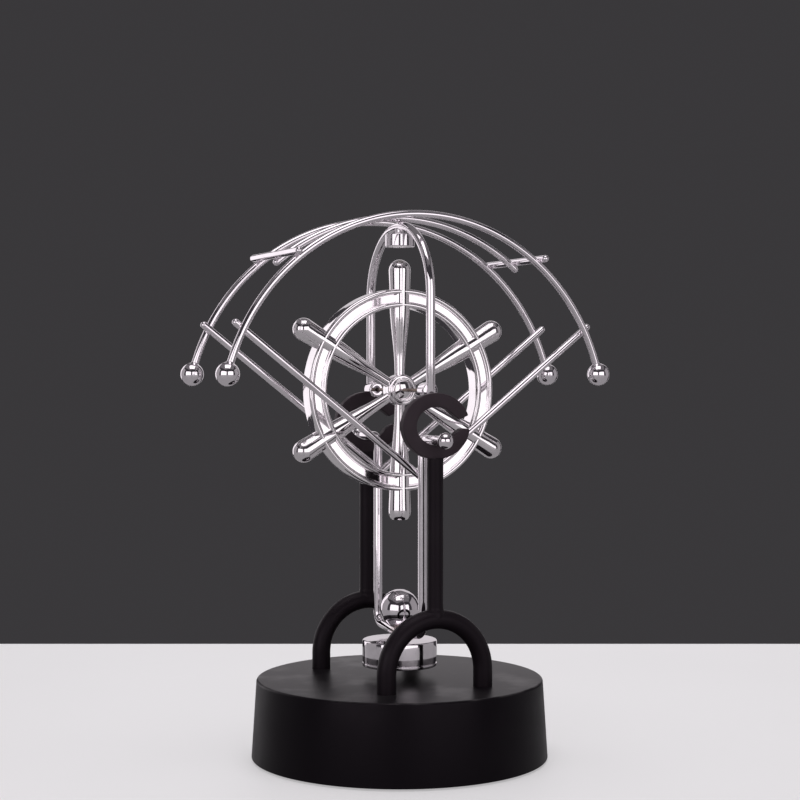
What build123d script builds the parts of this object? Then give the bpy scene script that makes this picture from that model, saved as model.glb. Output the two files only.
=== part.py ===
from build123d import *
import math
import os

# Swinging desk sculpture: a wire pendulum with a ship's wheel, hung in two hooks on a battery base.
# Millimetres. Origin: centre of the base on the table. +X along the wheel, +Y to the back, +Z up.

# base
base_r = 50.0
base_top_r = 48.3
base_h = 27.0
wall = 2.2
roof = 2.4
foot_gap = 0.6  # the casing hangs this far above the table
plate_top = 2.8
plate_r = base_r - wall - 0.35
pad_ring_r = 41.0
pad_r = 4.5
pad_h = 1.6
boss_x, boss_y = 37.6, 17.5  # bottom cover screws
boss_r = 3.0
socket_r = 5.0
standoff_r = 2.2
top_edge_r = 0.9
screw_hole_r = 1.6
cover_hole = (1.5, 2.8, 1.1)  # radius, head radius, head depth
pad_sink = 1.0

# self-tapping screws: head radius, shank radius, head height, shank length
plate_screw = (2.6, 1.25, 1.0, 9.0)
stand_screw = (2.7, 1.25, 1.7, 7.5)
board_screw = (1.8, 0.8, 1.2, 3.4)
cross_l, cross_w = 3.2, 0.7

# battery bay
cell_r = 7.2
cell_pitch = 14.5
cell_len = 49.5
cell_z = 9.65
bay_in = 29.6
bay_wall = 1.2
bay_roof_z = 17.0
door_half = 29.6
door_gap = 0.3
door_top = 2.2

# stands
stand_y = 27.2
leg_x = 17.4
leg_r = 3.15
leg_bottom = 21.5
arch_z = 32.6  # centre of the half-round arch
post_r = 2.65
hook_z = 112.6
hook_out = (12.0, 10.7)
hook_in = (7.2, 6.2)
hook_t = 3.0
beak_r = 0.8
stand_hole_h = 7.0

# pendulum frame
pivot_z = 108.0
pivot_ball_y = 34.6
pivot_ball_r = 2.65
hanger_y = 17.8
hanger_r = 1.5
hanger_low = 43.5
hanger_dip = 41.9
hanger_bends = [3.5, 4.0, 40.0, 4.0, 3.5]
weight_r = 6.7
weight_z = 50.0
cup_r = 12.6
cup_low = 31.0
cup_high = 39.8
cup_wall = 0.9
cup_stem_r = 2.2
groove = 0.25

# arcs over the wheel
arc_z = 112.4
arc_radius = 69.6
arc_y = 17.6
rod_r = 1.2
ball_x = 67.5
ball_r = 3.84
middle_end_x = 44.4
cross_half = 20.6
cross_angle = 51.4
weld = 0.3  # how deep one wire is set into the next
brace_top = (62.0, 144.0)
brace_low_z = 95.8
brace_past = 2.6
brace_under = 0.05  # how far a brace runs past the middle plane before it is cut, of its length

# yoke that carries the wheel
yoke_y = 23.8
yoke_r = 1.5
yoke_low = 122.6
yoke_arc_z = 155.5
top_cup_low = 172.4
top_cup_high = 176.8
top_cup_r = 5.0
top_cup_wall = 0.7
top_stem_r = 1.4
boss_in = 18.6  # inner face of the bearing bosses
bearing_r = 2.6
recess_r, recess_h = 1.25, 2.4

# wheel
wheel_z = 124.1
rim_in = 27.8
rim_out = 34.0
rim_half = 2.6
bead_r = 0.85
hub_r = 5.2
hub_half = 2.7
hub_edge_r = 0.7
spoke_root = 4.3
cap_r = 4.2
pin_r = 0.6
pin_half = 21.4
run_gap = 0.05
spoke_root_r = 1.7
spoke_knots = [(2.12, 14), (3.05, 23), (3.45, 30), (3.52, 35)]
dome_r = 3.75
tip_r = 44.0
tip_flat_r = 43.8  # the lowest handle is cut flat for its magnet
flat_dome_z = 41.15
magnet_r, magnet_h = 2.1, 2.0
spoke_names = ["right_upper", "top", "left_upper", "left_lower", "bottom", "right_lower"]

os.makedirs("parts", exist_ok=True)


def save(builder, name):
    builder.part.label = name
    export_step(builder.part, f"parts/{name}.step")


def xz(y):
    """Plane facing the front at depth y, with local x, y along +X, +Z."""
    return Plane.XZ.offset(-y)


def yz_wire(points, radii, radius):
    """Round wire bent in the YZ plane through the points, with one bend radius per corner."""
    with BuildPart() as wire:
        with BuildLine(Plane.YZ) as path:
            FilletPolyline(*points, radius=radii)
        with BuildSketch(Plane(origin=path.line @ 0, z_dir=path.line % 0)):
            Circle(radius)
        sweep()
    return wire


def rod(start, end, radius, round_start=False, round_end=False):
    """Straight round rod from start to end, with a ball end where asked."""
    first, last = Vector(*start), Vector(*end)
    with BuildPart() as bar:
        with BuildSketch(Plane(origin=first, z_dir=last - first)):
            Circle(radius)
        extrude(amount=(last - first).length)
        rounded = [p for p, wanted in ((first, round_start), (last, round_end)) if wanted]
        if rounded:
            with Locations(*rounded):
                Sphere(radius)
    return bar


# ---- base casing ----
socket_spots = [(sx * leg_x, sy * stand_y) for sx in (-1, 1) for sy in (-1, 1)]
boss_spots = [(sx * boss_x, sy * boss_y) for sx in (-1, 1) for sy in (-1, 1)]
standoff_spots = [(34.5, -9.0), (34.5, 9.0)]
roof_z = base_h - roof
socket_low = leg_bottom - 1.5
board_low, board_top = 20.4, 22.0
board_hole_h = 2.2

with BuildPart() as base_shell:
    with BuildSketch(Plane.XZ):
        with BuildLine():
            Polyline(
                (0, roof_z), (base_top_r - wall, roof_z), (base_r - wall, foot_gap),
                (base_r, foot_gap), (base_top_r, base_h), (0, base_h), close=True,
            )
        make_face()
    revolve(axis=Axis.Z)
    fillet(base_shell.faces().sort_by(Axis.Z)[-1].edges(), top_edge_r)
    with BuildSketch(Plane.XY.offset(socket_low)):
        with Locations(*socket_spots):
            Circle(socket_r)
    extrude(amount=roof_z - socket_low)
    with BuildSketch(Plane.XY.offset(plate_top)):
        with Locations(*boss_spots):
            Circle(boss_r)
    extrude(amount=roof_z - plate_top)
    with BuildSketch(Plane.XY.offset(board_top)):
        with Locations(*standoff_spots):
            Circle(standoff_r)
    extrude(amount=roof_z - board_top)
    with BuildSketch(Plane.XY.offset(leg_bottom)):
        with Locations(*socket_spots):
            Circle(leg_r)
    extrude(amount=base_h, mode=Mode.SUBTRACT)
    with BuildSketch(Plane.XY.offset(socket_low)):
        with Locations(*socket_spots):
            Circle(screw_hole_r)
    extrude(amount=leg_bottom - socket_low + 0.5, mode=Mode.SUBTRACT)
    with BuildSketch(Plane.XY.offset(plate_top)):
        with Locations(*boss_spots):
            Circle(plate_screw[1])
    extrude(amount=plate_screw[3] + 0.5, mode=Mode.SUBTRACT)
    with BuildSketch(Plane.XY.offset(board_top)):
        with Locations(*standoff_spots):
            Circle(board_screw[1])
    extrude(amount=board_hole_h, mode=Mode.SUBTRACT)
save(base_shell, "base_shell")

# ---- bottom cover with the battery bay moulded in ----
pad_spots = [(pad_ring_r, 0), (0, pad_ring_r), (-pad_ring_r, 0), (0, -pad_ring_r)]
bay_out = bay_in + bay_wall
door_open = door_half + door_gap
bay_roof = 1.0
lead_r = 0.4
lead_x, lead_y = 24.0, 17.0

with BuildPart() as base_plate:
    with BuildSketch(Plane.XY.offset(foot_gap)):
        Circle(plate_r)
        Rectangle(2 * door_open, 2 * door_open, mode=Mode.SUBTRACT)
    extrude(amount=plate_top - foot_gap)
    with BuildSketch(Plane.XY.offset(plate_top)):
        Rectangle(2 * bay_out, 2 * bay_out)
        Rectangle(2 * bay_in, 2 * bay_in, mode=Mode.SUBTRACT)
    extrude(amount=bay_roof_z - plate_top)
    with BuildSketch(Plane.XY.offset(bay_roof_z)):
        Rectangle(2 * bay_out, 2 * bay_out)
        with Locations((lead_x, -lead_y), (lead_x, lead_y)):
            Circle(lead_r + 0.1, mode=Mode.SUBTRACT)
    extrude(amount=bay_roof)
    with BuildSketch(Plane.XY.offset(foot_gap)):
        with Locations(*pad_spots):
            Circle(pad_r + 0.1)
    extrude(amount=pad_sink, mode=Mode.SUBTRACT)
    with Locations(*[(x, y, foot_gap) for x, y in boss_spots]):
        with Locations(Rot(180, 0, 0)):
            CounterBoreHole(*cover_hole, depth=plate_top)
save(base_plate, "base_plate")

tongue_w, tongue_l, tongue_slot = 12.0, 8.0, 0.8
grip_l, grip_w, grip_deep = 14.0, 1.2, 0.5
with BuildPart() as battery_door:
    with BuildSketch(Plane.XY.offset(foot_gap)):
        RectangleRounded(2 * door_half, 2 * door_half, 1.0)
        for side in (-1, 1):
            with Locations((side * tongue_w / 2, door_half - tongue_l / 2)):
                Rectangle(tongue_slot, tongue_l + 1, mode=Mode.SUBTRACT)
    extrude(amount=door_top - foot_gap)
    with BuildSketch(Plane.XY.offset(foot_gap)):
        with Locations((0, 10), (0, 13), (0, 16)):
            SlotOverall(grip_l, grip_w)
    extrude(amount=grip_deep, mode=Mode.SUBTRACT)
save(battery_door, "battery_door")

with BuildPart() as rubber_pads:
    with BuildSketch():
        with Locations(*pad_spots):
            Circle(pad_r)
    extrude(amount=pad_h)
    chamfer(rubber_pads.faces().group_by(Axis.Z)[0].edges(), 0.4)
save(rubber_pads, "rubber_pads")


def screws(spots, low, screw, slot_h):
    """Round-head screws pointing up from height low, with a cross slot of depth slot_h below."""
    head_r, shank_r, head_h, shank_h = screw
    with BuildPart() as made:
        with BuildSketch(Plane.XY.offset(low)):
            with Locations(*spots):
                Circle(head_r)
        extrude(amount=head_h)
        with BuildSketch(Plane.XY.offset(low + head_h)):
            with Locations(*spots):
                Circle(shank_r)
        extrude(amount=shank_h)
        if slot_h:
            with BuildSketch(Plane.XY.offset(low)):
                with Locations(*spots):
                    Rectangle(cross_l, cross_w)
                    Rectangle(cross_w, cross_l)
            extrude(amount=slot_h, mode=Mode.SUBTRACT)
    return made


save(screws(boss_spots, foot_gap + 0.1, plate_screw, 0.6), "plate_screws")
save(screws(socket_spots, socket_low - stand_screw[2], stand_screw, 0.8), "stand_screws")

# ---- cells, lying along Y, every second one turned round ----
cell_xs = [cell_pitch * (i - 1.5) for i in range(4)]
nub_r, nub_h = 2.75, 1.0
for i, x in enumerate(cell_xs):
    turn = 1 if i % 2 == 0 else -1
    with BuildPart() as battery:
        with BuildSketch(Plane((x, -turn * cell_len / 2, cell_z), z_dir=(0, turn, 0))):
            Circle(cell_r)
        extrude(amount=cell_len)
        fillet(battery.edges(), 0.5)
        with BuildSketch(Plane((x, turn * (cell_len / 2 - 0.2), cell_z), z_dir=(0, turn, 0))):
            Circle(nub_r)
        extrude(amount=nub_h + 0.2)
    save(battery, f"battery_{i + 1}")

# ---- contacts: a plate with a dimple at each nub, a plate with a spring at each flat end ----
contact_w, contact_h, contact_t = 11.0, 10.0, 0.5
contact_y = bay_in - contact_t
dimple_r = 2.2
with BuildPart() as battery_contacts:
    for i, x in enumerate(cell_xs):
        turn = 1 if i % 2 == 0 else -1
        for end in (-1, 1):
            with BuildSketch(Plane((x, end * contact_y, cell_z), z_dir=(0, end, 0))):
                Rectangle(contact_w, contact_h)
            extrude(amount=contact_t)
        nub_end = turn * (cell_len / 2 + nub_h)
        with BuildSketch(Plane((x, nub_end, cell_z), z_dir=(0, turn, 0))):
            Circle(dimple_r)
        extrude(amount=contact_y + 0.1 - abs(nub_end), taper=-8)
save(battery_contacts, "battery_contacts")

spring_wire_r, spring_r, spring_turns = 0.4, 2.6, 3
spring_h = contact_y - cell_len / 2 - 2 * spring_wire_r
with BuildPart() as battery_springs:
    for i, x in enumerate(cell_xs):
        turn = 1 if i % 2 == 0 else -1
        coil_start = (x, -turn * (cell_len / 2 + spring_wire_r), cell_z)
        with BuildLine() as coil_path:
            Helix(spring_h / spring_turns, spring_h, spring_r, center=coil_start, direction=(0, -turn, 0))
        with BuildSketch(Plane(origin=coil_path.line @ 0, z_dir=coil_path.line % 0)):
            Circle(spring_wire_r)
        sweep(path=coil_path.line, is_frenet=True)
save(battery_springs, "battery_springs")

# ---- drive coil under the middle of the roof ----
bobbin_low = 18.6
flange = 0.8
bobbin_r, coil_r, bobbin_neck, core_r = 13.5, 12.6, 4.0, 3.0
with BuildPart() as coil_bobbin:
    with BuildSketch(Plane.XZ):
        with BuildLine():
            Polyline(
                (core_r, bobbin_low), (bobbin_r, bobbin_low), (bobbin_r, bobbin_low + flange),
                (bobbin_neck, bobbin_low + flange), (bobbin_neck, roof_z - flange),
                (bobbin_r, roof_z - flange), (bobbin_r, roof_z), (core_r, roof_z), close=True,
            )
        make_face()
    revolve(axis=Axis.Z)
save(coil_bobbin, "coil_bobbin")

with BuildPart() as drive_coil:
    with BuildSketch(Plane.XY.offset(bobbin_low + flange)):
        Circle(coil_r)
        Circle(bobbin_neck, mode=Mode.SUBTRACT)
    extrude(amount=roof_z - bobbin_low - 2 * flange)
save(drive_coil, "drive_coil")

with BuildPart() as coil_core:
    with BuildSketch(Plane.XY.offset(bobbin_low)):
        Circle(core_r)
    extrude(amount=roof_z - bobbin_low)
save(coil_core, "coil_core")

# ---- circuit board, its parts, screws and leads ----
board_x, board_w, board_l = 29.0, 18.0, 24.0
# centre, width, length and height of each chip
chips = [
    (25.5, 0.0, 3.9, 4.9, 1.5), (30.5, 4.2, 4.0, 3.0, 1.5),
    (31.5, -3.0, 5.0, 3.2, 2.2), (25.0, 8.0, 2.0, 3.4, 2.2),
]
with BuildPart() as circuit_board:
    with BuildSketch(Plane.XY.offset(board_low)):
        with Locations((board_x, 0)):
            RectangleRounded(board_w, board_l, 1.0)
        with Locations(*standoff_spots):
            Circle(1.0, mode=Mode.SUBTRACT)
    extrude(amount=board_top - board_low)
save(circuit_board, "circuit_board")

with BuildPart() as board_components:
    for x, y, width, length, height in chips:
        with BuildSketch(Plane.XY.offset(board_top)):
            with Locations((x, y)):
                Rectangle(width, length)
        extrude(amount=height)
save(board_components, "board_components")

save(screws(standoff_spots, board_low - board_screw[2], board_screw, 0.5), "board_screws")

bend_r = 1.1
board_lead_y, coil_lead_y = 10.5, 2.5
bay_top = bay_roof_z + bay_roof
lead_middle = (bay_top + board_low) / 2
with BuildPart() as board_leads:
    for side in (-1, 1):
        with BuildLine(Plane.YZ.offset(lead_x)) as battery_lead:
            FilletPolyline(
                (side * lead_y, bay_roof_z), (side * lead_y, lead_middle),
                (side * board_lead_y, lead_middle), (side * board_lead_y, board_low), radius=bend_r,
            )
        with BuildSketch(Plane(origin=battery_lead.line @ 0, z_dir=battery_lead.line % 0)):
            Circle(lead_r)
        sweep(path=battery_lead.line)
        with BuildLine(Plane.XZ.offset(-side * coil_lead_y)) as coil_lead:
            FilletPolyline((coil_r, 21.4), (16.0, 20.9), (board_x - board_w / 2, 21.2), radius=8)
        with BuildSketch(Plane(origin=coil_lead.line @ 0, z_dir=coil_lead.line % 0)):
            Circle(lead_r)
        sweep(path=coil_lead.line)
    with BuildSketch(Plane.XY.offset(bobbin_low + flange)):
        Circle(coil_r)
    extrude(amount=roof_z - bobbin_low - 2 * flange, mode=Mode.SUBTRACT)
    with BuildSketch(Plane.XY.offset(board_low)):
        with Locations((board_x, 0)):
            Rectangle(board_w, board_l)
    extrude(amount=board_top - board_low, mode=Mode.SUBTRACT)
save(board_leads, "board_leads")

# ---- two stands: bent foot, post and open hook ----
slot = [(3.0, 2.0), (5.1, 4.3), (8.1, 2.0), (14.0, 4.43), (14.0, -1.1), (11.95, -1.05),
        (9.1, -0.75), (6.2, -2.75), (3.0, -3.4)]
for name, y in (("front", -stand_y), ("rear", stand_y)):
    with BuildPart() as stand_foot:
        with BuildLine(xz(y)) as foot_path:
            Line((-leg_x, leg_bottom), (-leg_x, arch_z))
            ThreePointArc((-leg_x, arch_z), (0, arch_z + leg_x), (leg_x, arch_z))
            Line((leg_x, arch_z), (leg_x, leg_bottom))
        with BuildSketch(Plane.XY.offset(leg_bottom)):
            with Locations((-leg_x, y)):
                Circle(leg_r)
        sweep(path=foot_path.line)
        with BuildSketch(Plane.XY.offset(leg_bottom)):
            with Locations((-leg_x, y), (leg_x, y)):
                Circle(stand_screw[1])
        extrude(amount=stand_hole_h, mode=Mode.SUBTRACT)
    save(stand_foot, f"{name}_foot")

    with BuildPart() as stand_hook:
        with BuildSketch(xz(y - hook_t / 2)):
            with Locations((0, hook_z)):
                Ellipse(*hook_out)
                Ellipse(*hook_in, mode=Mode.SUBTRACT)
            with BuildLine():
                Polyline(*[(px, hook_z + pz) for px, pz in slot], close=True)
            make_face(mode=Mode.SUBTRACT)
        extrude(amount=-hook_t)
        jaw_corners = stand_hook.edges().filter_by(Axis.Y).sort_by(Axis.X)
        fillet(jaw_corners[-1], beak_r)
    save(stand_hook, f"{name}_hook")

    post = rod((0, y, arch_z + leg_x), (0, y, hook_z - hook_out[1] + 0.4), post_r)
    with BuildPart() as stand_post:
        add(post.part)
        add(stand_foot.part, mode=Mode.SUBTRACT)
        add(stand_hook.part, mode=Mode.SUBTRACT)
    save(stand_post, f"{name}_post")

# ---- hanger: one wire with both pivot stubs, both legs and the bottom bar ----
hanger = yz_wire(
    [
        (-pivot_ball_y, pivot_z), (-hanger_y, pivot_z), (-hanger_y, hanger_low), (0, hanger_dip),
        (hanger_y, hanger_low), (hanger_y, pivot_z), (pivot_ball_y, pivot_z),
    ],
    hanger_bends,
    hanger_r,
)
save(hanger, "hanger")

for name, side in (("front", -1), ("rear", 1)):
    with BuildPart() as pivot_ball:
        with Locations((0, side * pivot_ball_y, pivot_z)):
            Sphere(pivot_ball_r)
        add(hanger.part, mode=Mode.SUBTRACT)
    save(pivot_ball, f"{name}_pivot_ball")

with BuildPart() as weight_ball:
    with Locations((0, 0, weight_z)):
        Sphere(weight_r)
    add(hanger.part, mode=Mode.SUBTRACT)
save(weight_ball, "weight_ball")

with BuildPart() as magnet_cup:
    with BuildSketch(Plane.XY.offset(cup_low)):
        Circle(cup_r)
    extrude(amount=cup_high - cup_low)
    fillet(magnet_cup.faces().sort_by(Axis.Z)[-1].edges(), 0.6)
    with BuildSketch(Plane.XY.offset(cup_low + 1.0)):
        Circle(cup_r + 1)
        Circle(cup_r - groove, mode=Mode.SUBTRACT)
    extrude(amount=0.5, mode=Mode.SUBTRACT)
    with BuildSketch(Plane.XY.offset(cup_low)):
        Circle(cup_r - cup_wall)
    extrude(amount=cup_high - cup_low - cup_wall, mode=Mode.SUBTRACT)
    with BuildSketch(Plane.XY.offset(cup_high - 0.2)):
        Circle(cup_stem_r)
    extrude(amount=hanger_dip - cup_high + 0.2, taper=8)
    add(hanger.part, mode=Mode.SUBTRACT)
save(magnet_cup, "magnet_cup")

with BuildPart() as cup_magnet:
    with BuildSketch(Plane.XY.offset(cup_low + 0.3)):
        Circle(cup_r - cup_wall)
    extrude(amount=cup_high - cup_low - cup_wall - 0.3)
    chamfer(cup_magnet.faces().sort_by(Axis.Z)[0].edges(), 0.4)
save(cup_magnet, "cup_magnet")

# ---- arcs, cross rods, braces and end balls ----
end_angle = math.degrees(math.acos(ball_x / arc_radius))
middle_angle = math.degrees(math.acos(middle_end_x / arc_radius))


def arc_wire(y, first_angle, round_ends):
    """Round wire bent to the big circle, from first_angle to its mirror image over the top."""
    with BuildPart() as wire:
        with BuildLine(xz(y)) as path:
            CenterArc((0, arc_z), arc_radius, first_angle, 180 - 2 * first_angle)
        with BuildSketch(Plane(origin=path.line @ 0, z_dir=path.line % 0)):
            Circle(rod_r)
        sweep()
        if round_ends:
            with Locations(path.line @ 0, path.line @ 1):
                Sphere(rod_r)
    return wire


front_arc = arc_wire(-arc_y, end_angle, False)
rear_arc = arc_wire(arc_y, end_angle, False)
middle_arc = arc_wire(0, middle_angle, True)
save(front_arc, "front_arc")
save(rear_arc, "rear_arc")
save(middle_arc, "middle_arc")

end_z = arc_z + arc_radius * math.sin(math.radians(end_angle))
for side_y, arc, y in (("front", front_arc, -arc_y), ("rear", rear_arc, arc_y)):
    for side_x, x in (("left", -ball_x), ("right", ball_x)):
        with BuildPart() as end_ball:
            with Locations((x, y, end_z)):
                Sphere(ball_r)
            add(arc.part, mode=Mode.SUBTRACT)
        save(end_ball, f"{side_y}_{side_x}_ball")

cross_radius = arc_radius + 2 * rod_r - weld
cross_x = cross_radius * math.cos(math.radians(cross_angle))
cross_z = arc_z + cross_radius * math.sin(math.radians(cross_angle))
for name, side in (("left", -1), ("right", 1)):
    bar = rod((side * cross_x, -cross_half, cross_z), (side * cross_x, cross_half, cross_z),
              rod_r, True, True)
    with BuildPart() as cross_rod:
        add(bar.part)
        for arc in (front_arc, rear_arc, middle_arc):
            add(arc.part, mode=Mode.SUBTRACT)
    save(cross_rod, f"{name}_cross_rod")

brace_y = arc_y - 2 * rod_r + weld
brace_len = math.hypot(brace_top[0], brace_top[1] - brace_low_z)
reach = 1 + brace_past / brace_len
for side_y, arc, sy in (("front", front_arc, -1), ("rear", rear_arc, 1)):
    for side_x, sx in (("left", -1), ("right", 1)):
        far = (sx * brace_top[0] * reach, sy * brace_y,
               brace_low_z + (brace_top[1] - brace_low_z) * reach)
        near = (-sx * brace_top[0] * brace_under, sy * brace_y,
                brace_low_z - (brace_top[1] - brace_low_z) * brace_under)
        bar = rod(near, far, rod_r, False, True)
        with BuildPart() as brace:
            add(bar.part)
            add(arc.part, mode=Mode.SUBTRACT)
            add(hanger.part, mode=Mode.SUBTRACT)
            split(bisect_by=Plane.YZ, keep=Keep.TOP if sx > 0 else Keep.BOTTOM)
        save(brace, f"{side_y}_{side_x}_brace")

# ---- yoke over the wheel, its bearings and the top magnet ----
with BuildPart() as yoke:
    with BuildLine(Plane.YZ) as yoke_path:
        Line((-yoke_y, yoke_low), (-yoke_y, yoke_arc_z))
        ThreePointArc((-yoke_y, yoke_arc_z), (0, yoke_arc_z + yoke_y), (yoke_y, yoke_arc_z))
        Line((yoke_y, yoke_arc_z), (yoke_y, yoke_low))
    with BuildSketch(Plane.XY.offset(yoke_low)):
        with Locations((0, -yoke_y)):
            Circle(yoke_r)
    sweep(path=yoke_path.line)
    add(middle_arc.part, mode=Mode.SUBTRACT)
save(yoke, "wheel_yoke")

for name, side in (("front", -1), ("rear", 1)):
    with BuildPart() as bearing_boss:
        with BuildSketch(Plane((0, side * boss_in, wheel_z), z_dir=(0, side, 0))):
            Circle(bearing_r)
        extrude(amount=yoke_y - boss_in)
        fillet(bearing_boss.faces().sort_by(Axis.Y)[0 if side > 0 else -1].edges(), 0.5)
        with BuildSketch(Plane((0, side * boss_in, wheel_z), z_dir=(0, side, 0))):
            Circle(pin_r + run_gap)
        extrude(amount=pin_half + 0.3 - boss_in, mode=Mode.SUBTRACT)
        with BuildSketch(Plane((0, side * boss_in, wheel_z), z_dir=(0, side, 0))):
            Circle(recess_r)
        extrude(amount=recess_h, mode=Mode.SUBTRACT)
        add(yoke.part, mode=Mode.SUBTRACT)
    save(bearing_boss, f"{name}_bearing")

yoke_top = yoke_arc_z + yoke_y
with BuildPart() as top_magnet_cup:
    with BuildSketch(Plane.XY.offset(top_cup_low)):
        Circle(top_cup_r)
    extrude(amount=top_cup_high - top_cup_low)
    fillet(top_magnet_cup.faces().sort_by(Axis.Z)[-1].edges(), 0.5)
    with BuildSketch(Plane.XY.offset(top_cup_low)):
        Circle(top_cup_r - top_cup_wall)
    extrude(amount=top_cup_high - top_cup_low - top_cup_wall, mode=Mode.SUBTRACT)
    with BuildSketch(Plane.XY.offset(top_cup_high - 0.1)):
        Circle(top_stem_r)
    extrude(amount=yoke_top - top_cup_high)
    add(yoke.part, mode=Mode.SUBTRACT)
save(top_magnet_cup, "top_magnet_cup")

with BuildPart() as top_magnet:
    with BuildSketch(Plane.XY.offset(top_cup_low + 0.2)):
        Circle(top_cup_r - top_cup_wall)
    extrude(amount=top_cup_high - top_cup_low - top_cup_wall - 0.2)
save(top_magnet, "top_magnet")

# ---- wheel: turned spokes with handles, rim, hub, caps and pin ----
centre = Vector(0, 0, wheel_z)
wheel_axis = Axis((0, 0, wheel_z), (0, 1, 0))
spokes = {}
for i, name in enumerate(spoke_names):
    angle = math.radians(30 + 60 * i)
    outward = Vector(math.cos(angle), 0, math.sin(angle))
    across = Vector(0, 1, 0)
    dome_z = flat_dome_z if name == "bottom" else tip_r - dome_r
    start = (spoke_root_r, hub_r + 1)
    with BuildPart() as spoke:
        with BuildSketch(Plane(centre, x_dir=across, z_dir=across.cross(outward))):
            with BuildLine():
                Line((0, spoke_root), (spoke_root_r, spoke_root))
                Line((spoke_root_r, spoke_root), start)
                Spline(start, *spoke_knots, (dome_r, dome_z), tangents=((0.0, 1.0), (0.0, 1.0)))
                CenterArc((0, dome_z), dome_r, 0, 90)
                Line((0, dome_z + dome_r), (0, spoke_root))
            make_face()
        revolve(axis=Axis(centre, outward))
        if name == "bottom":
            flat = centre + outward * tip_flat_r
            with BuildSketch(Plane(flat, z_dir=outward)):
                Circle(dome_r)
            extrude(amount=dome_r, mode=Mode.SUBTRACT)
            with BuildSketch(Plane(flat, z_dir=outward)):
                Circle(magnet_r)
            extrude(amount=-magnet_h, mode=Mode.SUBTRACT)
    spokes[name] = spoke
    save(spoke, f"spoke_{name}")

with BuildPart() as handle_magnet:
    with BuildSketch(Plane((0, 0, wheel_z - tip_flat_r), z_dir=(0, 0, 1))):
        Circle(magnet_r)
    extrude(amount=magnet_h)
save(handle_magnet, "handle_magnet")

with BuildPart() as wheel_rim:
    with BuildSketch(Plane.XY.offset(wheel_z)):
        with Locations(((rim_in + rim_out) / 2, 0)):
            Rectangle(rim_out - rim_in, 2 * rim_half)
        for y in (-rim_half, rim_half):
            with Locations((rim_in + bead_r, y), (rim_out - bead_r, y)):
                Circle(bead_r)
    revolve(axis=wheel_axis)
    for spoke in spokes.values():
        add(spoke.part, mode=Mode.SUBTRACT)
save(wheel_rim, "wheel_rim")

with BuildPart() as wheel_hub:
    with BuildSketch(Plane((0, -hub_half, wheel_z), z_dir=(0, 1, 0))):
        Circle(hub_r)
    extrude(amount=2 * hub_half)
    fillet(wheel_hub.edges(), hub_edge_r)
    for spoke in spokes.values():
        add(spoke.part, mode=Mode.SUBTRACT)
    with BuildSketch(Plane((0, -hub_half, wheel_z), z_dir=(0, 1, 0))):
        Circle(pin_r)
    extrude(amount=2 * hub_half, mode=Mode.SUBTRACT)
save(wheel_hub, "wheel_hub")

with BuildPart() as hub_caps:
    for side in (-1, 1):
        with BuildSketch(Plane.XY.offset(wheel_z)):
            with BuildLine():
                Polyline((pin_r, side * (hub_half + 0.9)), (pin_r, side * hub_half),
                         (cap_r, side * hub_half), (cap_r, side * (hub_half + 0.7)))
                ThreePointArc((cap_r, side * (hub_half + 0.7)), (cap_r - 0.5, side * (hub_half + 1.2)),
                              (cap_r - 1.0, side * (hub_half + 0.5)))
                Line((cap_r - 1.0, side * (hub_half + 0.5)), (pin_r, side * (hub_half + 0.9)))
            make_face()
        revolve(axis=wheel_axis)
save(hub_caps, "hub_caps")

with BuildPart() as wheel_pin:
    with BuildSketch(Plane((0, -pin_half, wheel_z), z_dir=(0, 1, 0))):
        Circle(pin_r)
    extrude(amount=2 * pin_half)
    chamfer(wheel_pin.edges(), 0.2)
save(wheel_pin, "wheel_pin")
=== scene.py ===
import math

import bpy
import numpy as np
from mathutils import Matrix, Vector


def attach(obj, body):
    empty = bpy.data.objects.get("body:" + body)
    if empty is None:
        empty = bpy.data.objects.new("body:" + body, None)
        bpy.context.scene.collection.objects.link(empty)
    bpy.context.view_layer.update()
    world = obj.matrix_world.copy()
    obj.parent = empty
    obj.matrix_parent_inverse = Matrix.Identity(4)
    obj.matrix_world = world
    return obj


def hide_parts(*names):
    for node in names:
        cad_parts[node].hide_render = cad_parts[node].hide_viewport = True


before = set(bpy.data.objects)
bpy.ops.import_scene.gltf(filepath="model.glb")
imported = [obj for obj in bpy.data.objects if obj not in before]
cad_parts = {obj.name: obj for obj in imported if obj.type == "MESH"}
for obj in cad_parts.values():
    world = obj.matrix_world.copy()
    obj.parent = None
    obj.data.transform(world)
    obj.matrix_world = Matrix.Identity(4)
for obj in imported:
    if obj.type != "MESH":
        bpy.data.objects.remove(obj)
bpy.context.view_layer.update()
mm = 0.001
print("frame loaded,", len(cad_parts), "CAD nodes")


# surfaces: numpy arrays in millimetres, put into the mesh in metres

def unit(v):
    v = np.asarray(v, float)
    return v / np.linalg.norm(v, axis=-1, keepdims=True)


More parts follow.
